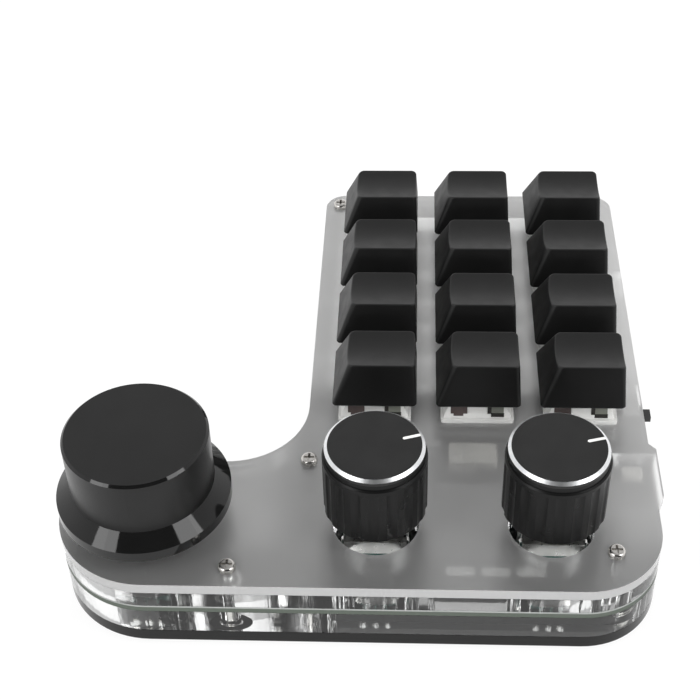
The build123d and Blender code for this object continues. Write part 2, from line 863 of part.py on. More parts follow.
def battery_lead():
    """Two wires from the battery head to its plug."""
    wires = []
    start_y = battery_front + battery_y + 0.02
    end_y = plug_y_start - 0.02
    middle = battery_left + battery_x / 2
    z0 = lower_z + battery_seat_gap + battery_z / 2
    z1 = plug_low() + plug_z / 2
    for side in (-1, 1):
        x0 = middle + lead_offset + side * lead_spacing / 2
        x1 = x0 + lead_shift
        points = [(x0, start_y, z0), (x0, start_y + lead_straight, z0),
                  (x1, end_y - lead_straight, z1), (x1, end_y, z1)]
        route = FilletPolyline(*points, radius=lead_bend_radius)
        start = Plane((x0, start_y, z0), z_dir=(0, 1, 0))
        wires.append(sweep(start * Circle(lead_radius), path=route))
    return wires


def battery_plug():
    """The white two-way connector under the board."""
    x = battery_left + battery_x / 2 + lead_offset + lead_shift
    low = plug_low()
    body = block(x - plug_x / 2, plug_y_start, low, x + plug_x / 2, plug_y_start + plug_y, low + plug_z)
    window = block(x - 1.6, plug_y_start + 1.2, low - 1, x + 1.6, plug_y_start + 3.0, low + 0.6)
    return body - window


def stadium(x, z, width, height, y0, y1):
    """A flat-sided oval bar along Y, the section of the socket's mouth."""
    face = Plane((x, y0, z), x_dir=(1, 0, 0), z_dir=(0, 1, 0))
    return extrude(face * RectangleRounded(width, height, height / 2 - 0.01), y1 - y0)


def usb_socket():
    """The socket at the rear edge: oval metal shell, back wall and tongue."""
    z = board_top_z + 0.02 + usb_height / 2
    rear = rear_edge + usb_overhang
    shell = stadium(usb_x, z, usb_width, usb_height, rear - usb_depth, rear)
    inner_width = usb_width - 2 * usb_wall
    inner_height = usb_height - 2 * usb_wall
    shell -= stadium(usb_x, z, inner_width, inner_height, rear - usb_depth + 1.0, rear + 1)
    front = rear - usb_depth + 0.5
    tongue = block(usb_x - usb_tongue_x / 2, front, z - usb_tongue_z / 2,
                   usb_x + usb_tongue_x / 2, front + usb_tongue_depth + 0.5, z + usb_tongue_z / 2)
    shell += tongue
    for side in (-1, 1):
        x = usb_x + side * (usb_width / 2 - 0.2)
        shell += block(x - 0.3, rear - 5.4, board_top_z + 0.02, x + 0.3, rear - 4.0, z)
    return shell


def slide_switch_body():
    """The slide switch's case at the rear edge, with the slot for its lever."""
    x0 = slide_x - slide_length / 2
    x1 = slide_x + slide_length / 2
    y1 = rear_edge - 0.3
    y0 = y1 - slide_depth
    z0 = board_top_z + 0.02
    z1 = z0 + slide_height
    solid = block(x0, y0, z0, x1, y1, z1)
    middle = (z0 + z1) / 2
    run = (slide_travel + lever_foot_width) / 2 + lever_clearance
    half_foot = lever_foot_height / 2 + lever_clearance
    solid -= block(slide_x - run, y1 - slide_wall - lever_foot_depth - 2 * lever_clearance,
                   middle - half_foot, slide_x + run, y1 - slide_wall, middle + half_foot)
    slot = (slide_travel + lever_width) / 2 + lever_clearance
    half_slot = slide_slot_height / 2
    return solid - block(slide_x - slot, y1 - slide_wall - 0.1, middle - half_slot,
                         slide_x + slot, y1 + 1, middle + half_slot)


def slide_switch_lever():
    """The lever, drawn at the right end of its travel."""
    x = slide_x + slide_travel / 2
    y1 = rear_edge - 0.3 - slide_wall - lever_clearance
    middle = board_top_z + 0.02 + slide_height / 2
    half_foot = lever_foot_height / 2
    half_lever = lever_height / 2
    foot = block(x - lever_foot_width / 2, y1 - lever_foot_depth, middle - half_foot,
                 x + lever_foot_width / 2, y1, middle + half_foot)
    lever = block(x - lever_width / 2, y1 - 0.5, middle - half_lever,
                  x + lever_width / 2, lever_tip, middle + half_lever)
    return foot + lever


def board_components():
    """Chips and passive parts on both sides of the board."""
    parts = []
    for x, y, size_x, size_y, height in top_side_parts:
        low = board_top_z + 0.02
        parts.append(block(x - size_x / 2, y - size_y / 2, low, x + size_x / 2, y + size_y / 2, low + height))
    for x, y, size_x, size_y, height in under_side_parts:
        high = board_z - 0.02
        parts.append(block(x - size_x / 2, y - size_y / 2, high - height, x + size_x / 2, y + size_y / 2, high))
    for _, _, x, y in key_places:
        high = board_z - 0.02
        y0 = y - diode_drop - diode_y / 2
        parts.append(block(x - diode_x / 2, y0, high - diode_height, x + diode_x / 2, y0 + diode_y, high))
    return parts


def build():
    """Write every node of the keypad."""
    os.makedirs("parts", exist_ok=True)
    write("top_plate", top_plate())
    write("upper_spacer", upper_spacer())
    write("circuit_board", circuit_board())
    write("lower_spacer", lower_spacer())
    write("base_plate", base_plate())
    write("rubber_feet", rubber_feet())
    write("top_screws", top_screws())
    write("bottom_screws", bottom_screws())
    write("standoffs", standoffs())
    write("switch_bottom_housings", [switch_bottom_housing(x, y) for _, _, x, y in key_places])
    write("switch_top_housings", [switch_top_housing(x, y) for _, _, x, y in key_places])
    write("switch_terminals", [pin for _, _, x, y in key_places for pin in switch_terminals(x, y)])
    write("switch_springs", [switch_spring(x, y) for _, _, x, y in key_places])
    for row, column, x, y in key_places:
        write(f"keycap_r{row}_c{column}", keycap(x, y))
        write(f"stem_r{row}_c{column}", stem(x, y))
    write("encoder_frames", [encoder_frame(x, y) for x, y in encoder_places])
    write("encoder_bases", [encoder_base(x, y) for x, y in encoder_places])
    write("encoder_terminals", encoder_terminals())
    write("encoder_domes", [encoder_dome(x, y) for x, y in encoder_places])
    shaft_tops = (dial_shaft_top(), knob_shaft_top(), knob_shaft_top())
    for name, (x, y), top in zip(("dial", "knob_1", "knob_2"), encoder_places, shaft_tops):
        write(name + "_rotor", encoder_rotor(x, y))
        write(name + "_shaft", encoder_shaft(x, y, top))
    write("dial", dial(*encoder_places[0]))
    write("dial_set_screw", dial_set_screw(*encoder_places[0]))
    write("knob_1", knob(*encoder_places[1]))
    write("knob_2", knob(*encoder_places[2]))
    write("knob_1_cap", knob_cap(*encoder_places[1], pointer_turn_1))
    write("knob_2_cap", knob_cap(*encoder_places[2], pointer_turn_2))
    write("battery", battery())
    write("battery_lead", battery_lead())
    write("battery_plug", battery_plug())
    write("usb_socket", usb_socket())
    write("slide_switch_body", slide_switch_body())
    write("slide_switch_lever", slide_switch_lever())
    write("board_components", board_components())


build()
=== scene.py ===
import math

import bmesh
import bpy
from mathutils import Matrix, Vector


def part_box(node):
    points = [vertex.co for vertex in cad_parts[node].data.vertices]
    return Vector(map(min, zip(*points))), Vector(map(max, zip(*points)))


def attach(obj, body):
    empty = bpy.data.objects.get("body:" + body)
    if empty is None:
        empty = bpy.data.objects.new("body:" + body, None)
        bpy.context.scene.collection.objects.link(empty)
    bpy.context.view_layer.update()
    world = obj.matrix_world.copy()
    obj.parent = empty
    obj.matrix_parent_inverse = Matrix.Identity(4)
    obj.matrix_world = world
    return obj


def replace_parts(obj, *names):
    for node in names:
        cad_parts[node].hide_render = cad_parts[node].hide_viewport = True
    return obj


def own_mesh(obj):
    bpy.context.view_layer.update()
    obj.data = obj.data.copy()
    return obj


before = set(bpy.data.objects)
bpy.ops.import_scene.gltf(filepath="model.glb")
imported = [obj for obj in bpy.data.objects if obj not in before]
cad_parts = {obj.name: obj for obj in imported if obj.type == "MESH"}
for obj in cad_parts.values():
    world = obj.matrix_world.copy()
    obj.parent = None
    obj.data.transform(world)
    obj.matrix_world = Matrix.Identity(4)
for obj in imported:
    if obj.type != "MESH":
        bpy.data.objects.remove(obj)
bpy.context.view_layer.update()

# Macro keypad. Lengths are in millimetres of the CAD drawing, which starts at
# the centre of the front right key. SHIFT takes them to the shared frame.
MM = 0.001
SHIFT = (10.95, 1.525)
PITCH_X = 20.0
PITCH_Y = 22.0
KEYS = [(row, column, (column - 4) * PITCH_X, (row - 1) * PITCH_Y)
        for row in (1, 2, 3) for column in (1, 2, 3, 4)]
DIAL = (34.0, -45.2)
KNOBS = {"knob_1": (36.0, 1.0), "knob_2": (36.0, 36.0)}
POINTER_TURNS = {"knob_1": 17.5, "knob_2": 15.5}
ENCODERS = (DIAL, *KNOBS.values())
# Screw places, each with the radius of the dark disc of painted shade that fits under it
FRONT_SCREW = (48.5, -27.7, 4.3)
SCREWS = [(-70.3, -10.65, 3.4), (-70.3, 52.05, 4.0), (19.6, -13.35, 4.3),
          FRONT_SCREW, (43.4, 48.15, 4.3)]
BASE_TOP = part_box("base_plate")[1].z / MM
BOARD_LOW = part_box("circuit_board")[0].z / MM
BOARD_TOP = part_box("circuit_board")[1].z / MM
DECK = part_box("top_plate")[1].z / MM


def at(x, y, z):
    """A point of the drawing, in metres of the frame."""
    return Vector(((x + SHIFT[0]) * MM, (y + SHIFT[1]) * MM, z * MM))


def on_circle(x, y, radius, degrees):
    """A point of a circle round a centre."""
    a = math.radians(degrees)
    return x + radius * math.cos(a), y + radius * math.sin(a)


def rounded(x0, y0, x1, y1, radius):
    """The outline of a rectangle with round corners."""
    corners = ((x1 - radius, y1 - radius, 0), (x0 + radius, y1 - radius, 90),
               (x0 + radius, y0 + radius, 180), (x1 - radius, y0 + radius, 270))
    return [on_circle(x, y, radius, start + 15 * k) for x, y, start in corners for k in range(7)]


def add_object(name, data):
    """A new object in the scene."""
    made = bpy.data.objects.new(name, data)
    bpy.context.scene.collection.objects.link(made)
    return made


# ---------------------------------------------------------------- materials

MADE = {}  # every finished material, by its name


class Shader:
    """A new material's node tree around one Principled shader."""

    def __init__(self, name):
        material = bpy.data.materials.new(name)
        material.use_nodes = True
        MADE[name] = material
        self.tree = material.node_tree
        self.main = self.tree.nodes["Principled BSDF"]
        self.place = self.node("ShaderNodeTexCoord").outputs["Object"]

    def node(self, kind, **settings):
        """A new node with some of its settings changed."""
        node = self.tree.nodes.new(kind)
        for key, value in settings.items():
            setattr(node, key, value)
        return node

    def link(self, source, target):
        """Feed one socket into another."""
        self.tree.links.new(source, target)

    def set(self, **values):
        """Constant values, straight on the shader's sockets."""
        for key, value in values.items():
            self.main.inputs[key.replace("_", " ")].default_value = value

    def noise(self, scale, detail=3.0, stretch=None):
        """Noise between 0 and 1, with features about 1/scale metres across."""
        place = self.place
        if stretch:
            mapping = self.node("ShaderNodeMapping")
            mapping.inputs["Scale"].default_value = stretch
            self.link(place, mapping.inputs["Vector"])
            place = mapping.outputs["Vector"]
        noise = self.node("ShaderNodeTexNoise")
        noise.inputs["Scale"].default_value = scale
        noise.inputs["Detail"].default_value = detail
        self.link(place, noise.inputs["Vector"])
        return noise.outputs["Fac"]

    def ramp(self, value, low, high, at_low=0.3, at_high=0.7):
        """A level or colour that goes from low to high as value goes between two stops."""
        ramp = self.node("ShaderNodeValToRGB")
        stops = ramp.color_ramp.elements
        stops[0].position, stops[1].position = at_low, at_high
        stops[0].color, stops[1].color = colour(low), colour(high)
        self.link(value, ramp.inputs["Fac"])
        return ramp.outputs["Color"]

    def maths(self, operation, first, second=0.0):
        """The result of one operation on two numbers or sockets."""
        node = self.node("ShaderNodeMath", operation=operation)
        for socket, value in zip(node.inputs, (first, second)):
            if isinstance(value, (int, float)):
                socket.default_value = value
            else:
                self.link(value, socket)
        return node.outputs["Value"]

    def mix(self, share, first, second):
        """The first where share is 0 and the second where it is 1: levels, colours or sockets."""
        node = self.node("ShaderNodeMix", data_type="RGBA")
        for index, value in ((0, share), (6, first), (7, second)):
            socket = node.inputs[index]
            if isinstance(value, bpy.types.NodeSocket):
                self.link(value, socket)
            else:
                socket.default_value = value if index == 0 else colour(value)
        return node.outputs[2]

    def along(self, axis):
        """The place along one axis of the shared frame, in millimetres."""
        split = self.node("ShaderNodeSeparateXYZ")
        self.link(self.place, split.inputs["Vector"])
        return self.maths("MULTIPLY", split.outputs[axis], 1 / MM)

    def height(self):
        """Height above the desk in millimetres."""
        return self.along("Z")

    def step(self, value, low, high):
        """A soft step from 0 to 1 as value goes from low to high."""
        node = self.node("ShaderNodeMapRange", interpolation_type="SMOOTHSTEP")
        node.inputs["From Min"].default_value = low
        node.inputs["From Max"].default_value = high
        self.link(value, node.inputs["Value"])
        return node.outputs["Result"]

    def near(self, places, radius):
        """1 within a radius of an upright line through one of the places, else 0."""
        flat = self.node("ShaderNodeVectorMath", operation="MULTIPLY")
        flat.inputs[1].default_value = (1.0, 1.0, 0.0)
        self.link(self.place, flat.inputs[0])
        found = 0.0
        for x, y in places:
            apart = self.node("ShaderNodeVectorMath", operation="DISTANCE")
            self.link(flat.outputs["Vector"], apart.inputs[0])
            apart.inputs[1].default_value = at(x, y, 0.0)
            inside = self.maths("LESS_THAN", apart.outputs["Value"], radius * MM)
            found = self.maths("MAXIMUM", inside, found)
        return found

    def facing_up(self):
        """1 on a level surface, facing up or down, and 0 on an upright one."""
        split = self.node("ShaderNodeSeparateXYZ")
        geometry = self.node("ShaderNodeNewGeometry")
        self.link(geometry.outputs["Normal"], split.inputs["Vector"])
        return self.maths("ABSOLUTE", split.outputs["Z"])

    def slant(self, up, low, high):
        """1 on surfaces whose facing_up is between two values, else 0."""
        over = self.maths("GREATER_THAN", up, low)
        return self.maths("MULTIPLY", over, self.maths("LESS_THAN", up, high))

    def bump(self, value, depth, strength=1.0):
        """Relief whose depth is in millimetres."""
        bump = self.node("ShaderNodeBump")
        bump.inputs["Strength"].default_value = strength
        bump.inputs["Distance"].default_value = depth * MM
        self.link(value, bump.inputs["Height"])
        self.link(bump.outputs["Normal"], self.main.inputs["Normal"])

    def colour(self, source):
        """Use a socket as the surface's colour."""
        self.link(source, self.main.inputs["Base Color"])

    def rough(self, source):
        """Use a socket as the surface's roughness."""
        self.link(source, self.main.inputs["Roughness"])


def colour(value):
    """An RGBA tuple from a grey or a colour."""
    if isinstance(value, (int, float)):
        return (value, value, value, 1.0)
    return (*value, 1.0) if len(value) == 3 else tuple(value)


def scaled(value, factor):
    """A grey or a colour made lighter or darker."""
    return tuple(min(1.0, part * factor) for part in colour(value)[:3])


def moulded(name, tint, rough, grain=2500.0, depth=0.004, spread=0.12, **sockets):
    """Moulded or machined stuff: a grain of a depth in millimetres, a cloud in colour and gloss."""
    shader = Shader(name)
    cloud = shader.noise(120.0, 4.0)
    shader.colour(shader.ramp(cloud, scaled(tint, 1 - spread), scaled(tint, 1 + spread)))
    shader.rough(shader.ramp(shader.noise(300.0, 5.0), rough * 0.88, min(1.0, rough * 1.12)))
    shader.bump(shader.noise(grain, 2.0), depth)
    shader.set(**sockets)
    return shader


def painted_light_clearness(shader):
    """How clear the frosted face is, as painted light: milkier over the white switches, a painted
    glow standing in for the light they scatter up, milkier towards the ends and clearer at the
    front, painted light and shade for how the light falls there.

    Each step runs between two places along an axis of the shared frame.
    """
    along_x, along_y = shader.along("X"), shader.along("Y")
    far = shader.step(along_x, -35.0, -60.0)
    behind = shader.step(along_x, 13.0, 3.0)
    front = shader.step(along_x, 42.0, 60.0)
    left = shader.step(along_y, -7.0, -10.0)
    ends = shader.maths("MAXIMUM", shader.step(along_y, -11.0, -22.0),
                        shader.step(along_y, 46.0, 54.0))
    # Painted light: milkier over the keys as a painted glow from the switches below, milkier at the
    # ends and clearer at the front as painted light and shade
    painted_glow_over_keys = shader.mix(left, shader.mix(far, 0.50, 0.58), 0.67)
    painted_light_elsewhere = shader.mix(front, shader.mix(ends, 0.81, 0.70), 0.84)
    return shader.mix(behind, painted_light_elsewhere, painted_glow_over_keys)


def frosted():
    """The top sheet: frosted above, clear below, with paler cut edges, screw bores painted dark as
    shade, and painted light and shade in how clear its frosted face is.
    """
    shader = Shader("acrylic_frosted")
    up = shader.ramp(shader.facing_up(), 0.0, 1.0, 0.6, 0.8)
    top = shader.maths("GREATER_THAN", shader.height(), DECK - 0.2)
    cloud = shader.ramp(shader.noise(60.0, 3.0), (0.915, 0.915, 0.91), (0.945, 0.945, 0.94))
    # Painted shade: the bore walls round the screws are dark, as the shade under the screw heads
    painted_shade_holes = shader.near([(x, y) for x, y, _ in SCREWS], 1.6)
    shader.colour(shader.mix(up, shader.mix(painted_shade_holes, 0.45, 0.05), shader.mix(top, 0.99, cloud)))
    matt = shader.ramp(shader.noise(900.0, 4.0), 0.30, 0.36)
    shader.rough(shader.mix(up, 0.16, shader.mix(top, 0.05, matt)))
    # On the top face the transmission carries painted light and shade: milky where a glow is
    # painted, clearer where shade is painted
    clearness_and_painted_light = shader.mix(up, 0.15, shader.mix(top, 1.0, painted_light_clearness(shader)))
    shader.link(clearness_and_painted_light, shader.main.inputs["Transmission Weight"])
    shader.bump(shader.noise(6000.0, 2.0), 0.003)
    shader.set(IOR=1.49)


def clear():
    """The clear spacer sheets: polished faces, and fine upright streaks on the cut edges."""
    shader = Shader("acrylic_clear")
    up = shader.facing_up()
    shader.colour(shader.ramp(shader.noise(40.0, 2.0), (0.955, 0.965, 0.96), (0.985, 0.99, 0.988)))
    streaks = shader.noise(900.0, 3.0, (1.0, 1.0, 0.08))
    side = shader.ramp(up, 1.0, 0.0, 0.3, 0.6)
    shader.bump(shader.maths("MULTIPLY", streaks, side), 0.05)
    shader.rough(shader.ramp(shader.noise(500.0, 3.0), 0.02, 0.05))
    shader.set(Transmission_Weight=1.0, IOR=1.49)


def board():
    """The circuit board: black mask with faint tracks; grey-green cut edge with a pale skin."""
    shader = Shader("board_black")
    up = shader.facing_up()
    tracks = shader.node("ShaderNodeTexBrick", offset=0.37)
    tracks.inputs["Scale"].default_value = 260.0
    tracks.inputs["Mortar Size"].default_value = 0.06
    tracks.inputs["Color1"].default_value = colour((0.012, 0.013, 0.012))
    tracks.inputs["Color2"].default_value = colour((0.017, 0.018, 0.017))
    tracks.inputs["Mortar"].default_value = colour((0.008, 0.009, 0.008))
    shader.link(shader.place, tracks.inputs["Vector"])
    glass = shader.ramp(shader.noise(1500.0, 3.0, (1.0, 1.0, 6.0)),
                        (0.060, 0.075, 0.060), (0.095, 0.112, 0.092))
    skin = shader.maths("GREATER_THAN", shader.height(), BOARD_TOP - 0.4)
    cut = shader.mix(skin, glass, (0.34, 0.35, 0.34))
    shader.colour(shader.mix(shader.ramp(up, 0.0, 1.0, 0.5, 0.8), cut, tracks.outputs["Color"]))
    shader.rough(shader.ramp(up, 0.6, 0.28, 0.5, 0.8))
    shader.bump(tracks.outputs["Fac"], 0.02, 0.4)


def base_skin():
    """The base plate: polished cut edges, and a duller face under the clear sheet."""
    shader = Shader("base_black")
    up = shader.ramp(shader.facing_up(), 0.0, 1.0, 0.4, 0.8)
    shader.colour(shader.ramp(shader.noise(120.0, 4.0), 0.007, 0.009))
    wear = shader.noise(300.0, 5.0)
    shader.rough(shader.mix(up, shader.ramp(wear, 0.14, 0.18), shader.ramp(wear, 0.27, 0.33)))
    shader.bump(shader.mix(up, shader.noise(400.0, 2.0), 0.5), 0.01)
    shader.set(Specular_IOR_Level=0.2)


def keycap_skin():
    """The keycaps: moulded black with a fine grain, a little glossier on top than on the sides."""
    shader = moulded("keycap_black", 0.007, 0.42, 3600.0, 0.012, 0.1)
    gloss = shader.ramp(shader.facing_up(), 0.22, 0.42, 0.4, 0.75)
    shader.link(gloss, shader.main.inputs["Specular IOR Level"])


def dial_skin():
    """The dial: fine satin top and grip, polished chamfer, skirt and rim."""
    shader = Shader("dial_black")
    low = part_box("dial")[0].z / MM
    up = shader.facing_up()
    grip = shader.maths("GREATER_THAN", shader.height(), low + 4.9)
    slant = shader.slant(up, 0.3, 0.9)
    satin = shader.maths("MULTIPLY", grip, shader.maths("SUBTRACT", 1.0, slant))
    shader.colour(shader.ramp(shader.noise(150.0, 4.0), 0.006, 0.008))
    dull = shader.ramp(shader.noise(2200.0, 3.0), 0.28, 0.34)
    gloss = shader.ramp(shader.noise(700.0, 3.0), 0.04, 0.06)
    shader.rough(shader.mix(satin, gloss, dull))
    shader.bump(shader.noise(5000.0, 2.0, (1.0, 1.0, 3.0)), 0.001)
    shader.link(shader.ramp(up, 0.28, 0.40, 0.2, 0.6), shader.main.inputs["Specular IOR Level"])


def knob_face():
    """The knob's disc: black face with a faint cloud and a bright cut bevel."""
    shader = Shader("knob_face")
    up = shader.facing_up()
    slant = shader.slant(up, 0.4, 0.95)
    black = shader.ramp(shader.noise(200.0, 4.0), 0.010, 0.014)
    bright = shader.ramp(shader.noise(1500.0, 2.0), (0.78, 0.79, 0.80), (0.88, 0.89, 0.90))
    shader.colour(shader.mix(slant, black, bright))
    shader.link(slant, shader.main.inputs["Metallic"])
    shader.rough(shader.mix(slant, shader.ramp(shader.noise(2500.0, 3.0), 0.36, 0.44), 0.34))
    shader.bump(shader.noise(6000.0, 2.0), 0.002)
    shader.set(Specular_IOR_Level=0.3)


def screw_metal():
    """The screws: bright plated heads, and dull threads painted dark, as shade, where they pass
    through the top sheet.
    """
    shader = Shader("screw_nickel")
    height = shader.height()
    low_head = shader.maths("LESS_THAN", height, 2.1)
    head = shader.maths("ADD", shader.step(height, DECK - 0.1, DECK), low_head)
    bright = shader.ramp(shader.noise(250.0, 4.0), (0.67, 0.65, 0.62), (0.78, 0.76, 0.73))
    # Painted shade: below the heads the metal is near black, as the shade the threads sit in
    shader.colour(shader.mix(head, 0.06, bright))
    shader.rough(shader.mix(head, 0.6, shader.ramp(shader.noise(900.0, 4.0), 0.18, 0.30)))
    shader.bump(shader.noise(3000.0, 3.0), 0.003)
    shader.set(Metallic=1.0)


def metal(name, tint, rough, stretch=None):
    """Plated or bare metal with fine marks."""
    shader = Shader(name)
    shader.colour(shader.ramp(shader.noise(250.0, 4.0), scaled(tint, 0.9), scaled(tint, 1.06)))
    shader.rough(shader.ramp(shader.noise(900.0, 4.0, stretch), rough * 0.75, rough * 1.25))
    shader.bump(shader.noise(3000.0, 3.0, stretch), 0.003)
    shader.set(Metallic=1.0)


def make_materials():
    """Every material; most have the name of a slot of the record."""
    frosted()
    clear()
    board()
    base_skin()
    moulded("rubber_black", 0.022, 0.75, 1800.0, 0.02)
    screw_metal()
    metal("standoff_metal", (0.80, 0.79, 0.76), 0.22, stretch=(1.0, 1.0, 0.1))
    moulded("switch_white", (0.80, 0.80, 0.78), 0.32, 1500.0, 0.003, 0.03, Subsurface_Weight=0.3,
            Subsurface_Scale=0.0015, Subsurface_Radius=(1.0, 1.0, 1.0))
    metal("terminal_metal", (0.82, 0.80, 0.74), 0.25)
    metal("spring_steel", (0.70, 0.70, 0.70), 0.25)
    moulded("stem_brown", (0.17, 0.085, 0.045), 0.45)
    keycap_skin()
    metal("frame_zinc", (0.78, 0.78, 0.76), 0.33)
    moulded("encoder_plastic", (0.05, 0.16, 0.14), 0.4)
    metal("dome_metal", (0.80, 0.79, 0.74), 0.2)
    metal("shaft_metal", (0.77, 0.76, 0.73), 0.24, stretch=(1.0, 1.0, 8.0))
    dial_skin()
    metal("set_screw_steel", (0.25, 0.25, 0.26), 0.35)
    moulded("knob_black", 0.006, 0.3, 3000.0, Specular_IOR_Level=0.15)
    knob_face()
    moulded("battery_wrap", (0.018, 0.018, 0.021), 0.3, 250.0, 0.05, Specular_IOR_Level=0.2)
    moulded("lead_white", (0.7, 0.69, 0.66), 0.4)
    moulded("plug_white", (0.76, 0.75, 0.70), 0.38)
    metal("usb_steel", (0.75, 0.75, 0.75), 0.2)
    metal("switch_case", (0.66, 0.66, 0.66), 0.28)
    moulded("lever_black", 0.02, 0.4)
    moulded("component_black", 0.015, 0.45, Specular_IOR_Level=0.3)
    # Window colours: partly the inner parts seen through a housing, partly painted shade under the
    # keycaps
    moulded("window_and_shade_brown", (0.068, 0.049, 0.046), 0.25, 700.0, 0.02, 0.4)
    moulded("window_and_shade_dark", (0.025, 0.024, 0.021), 0.25, 700.0, 0.02, 0.4)
    moulded("window_and_shade_grey", (0.20, 0.21, 0.18), 0.25, 700.0, 0.02, 0.25)
    # A matte black without gloss, for the discs of painted shade round the screws
    moulded("painted_shade_black", 0.006, 0.9, Specular_IOR_Level=0.0)
    moulded("print_white", (0.80, 0.80, 0.78), 0.5)
    metal("solder", (0.86, 0.86, 0.85), 0.22)
    metal("gold", (0.95, 0.74, 0.38), 0.22)


def dress_nodes():
    """Give every CAD node the finished material of its slot."""
    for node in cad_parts.values():
        for slot in node.material_slots:
            slot.material = MADE[slot.material.name.split(".")[0]]


# ---------------------------------------------------------------- shapes

class Piece:
    """One piece of the model, built up from closed shapes in drawing millimetres."""

    def __init__(self, name):
        self.name = name
        self.mesh = bmesh.new()

    def shell(self, rings, closed=False):
        """Skin a list of rings of equal length; the first and last are capped."""
        made = [[self.mesh.verts.new(at(*point)) for point in ring] for ring in rings]
        pairs = list(zip(made, made[1:]))
        if closed:
            pairs.append((made[-1], made[0]))
        for low, high in pairs:
            for k in range(len(low)):
                after = (k + 1) % len(low)
                self.mesh.faces.new((low[k], low[after], high[after], high[k]))
        if not closed:
            self.mesh.faces.new(made[0][::-1])
            self.mesh.faces.new(made[-1])

    def box(self, x0, y0, z0, x1, y1, z1):
        """A box between two corners."""
        self.prism([(x0, y0), (x1, y0), (x1, y1), (x0, y1)], z0, z1)

    def prism(self, corners, z0, z1):
        """An outline of x and y between two heights."""
        self.shell([[(x, y, z) for x, y in corners] for z in (z0, z1)])

    def lathe(self, x, y, profile, steps=32, closed=False):
        """A turned shape: its profile is a list of radius and height."""
        turns = [2 * math.pi * k / steps for k in range(steps)]
        rings = [[(x + r * math.cos(a), y + r * math.sin(a), z) for a in turns] for r, z in profile]
        self.shell(rings, closed)

    def washer(self, x, y, inner, outer, z0, z1, steps=40):
        """A flat ring."""
        profile = [(inner, z0), (outer, z0), (outer, z1), (inner, z1)]
        self.lathe(x, y, profile, steps, True)

    def strip(self, path, x, width, thickness, side):
        """A bent strip along a path of y and z, centred on x; side is the side it faces."""
        left, right = x - width / 2, x + width / 2
        rings = []
        for k, (y, z) in enumerate(path):
            before, after = path[max(k - 1, 0)], path[min(k + 1, len(path) - 1)]
            along = Vector((after[0] - before[0], after[1] - before[1])).normalized()
            out = Vector((along.y, -along.x)) * thickness / 2 * side
            rings.append([(left, y - out.x, z - out.y), (right, y - out.x, z - out.y),
                          (right, y + out.x, z + out.y), (left, y + out.x, z + out.y)])
        self.shell(rings)

    def done(self, material, body, bevel=0.0, sharp=35.0):
        """Finish the piece: bevel in millimetres, sharp the angle at which an edge shows."""
        bmesh.ops.recalc_face_normals(self.mesh, faces=self.mesh.faces)
        for face in self.mesh.faces:
            face.smooth = True
        for edge in self.mesh.edges:
            if len(edge.link_faces) == 2 and edge.calc_face_angle(0.0) > math.radians(sharp):
                edge.smooth = False
        data = bpy.data.meshes.new(self.name)
        self.mesh.to_mesh(data)
        self.mesh.free()
        data.materials.append(MADE[material])
        piece = add_object(self.name, data)
        if bevel:
            modifier = piece.modifiers.new("edges", "BEVEL")
            modifier.width = bevel * MM
            modifier.segments = 3
            modifier.limit_method = "ANGLE"
            modifier.harden_normals = False
        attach(piece, body)
        return piece


# ---------------------------------------------------------------- keycaps

CAP_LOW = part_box("keycap_r1_c4")[0].z / MM
CAP_HEIGHT = 8.75
CAP_ROOF = 1.6
CAP_WALL = 1.2
CAP_SCOOP = 1.0
CAP_ROUNDING = 0.35
CAP_FOOT_HALF = 9.0
CAP_TOP_HALF = 5.65
CAP_TOP_FRONT = 5.4
CAP_TOP_REAR = 8.55
ROOF_SHARE = 0.82  # share of the height at which the roof's underside meets the walls


def cap_section(share):
    """Half width, reach to front and rear, and corner radius at a share of the height."""
    half, front, rear = (CAP_FOOT_HALF + (top - CAP_FOOT_HALF) * share
                         for top in (CAP_TOP_HALF, CAP_TOP_FRONT, CAP_TOP_REAR))
    return half, front, rear, 0.9 + 0.3 * share


def cap_ring(share, inset=0.0):
    """Points round the keycap at a share of its height, starting at the rear of the right side."""
    half, front, rear, radius = cap_section(share)
    half, front, rear = half - inset, front - inset, rear - inset
    radius = max(0.3, radius - inset * 0.6)
    centres = [(half - radius, rear - radius, 0), (-half + radius, rear - radius, 90),
               (-half + radius, -front + radius, 180), (half - radius, -front + radius, 270)]
    steps = 7
    points = []
    for k, (x, y, start) in enumerate(centres):
        points += [on_circle(x, y, radius, start + 90 * j / steps) for j in range(steps + 1)]
        last_x, last_y = points[-1]
        next_x, next_y, next_start = centres[(k + 1) % 4]
        to_x, to_y = on_circle(next_x, next_y, radius, next_start)
        points += [(last_x + (to_x - last_x) * j / steps, last_y + (to_y - last_y) * j / steps)
                   for j in range(1, steps)]
    return points


def cap_top(x):
    """Height of the scooped top above the keycap's foot."""
    radius = (CAP_TOP_HALF ** 2 + CAP_SCOOP ** 2) / (2 * CAP_SCOOP)
    x = max(-CAP_TOP_HALF, min(CAP_TOP_HALF, x))
    return CAP_HEIGHT - CAP_SCOOP + radius - math.sqrt(radius ** 2 - x ** 2)


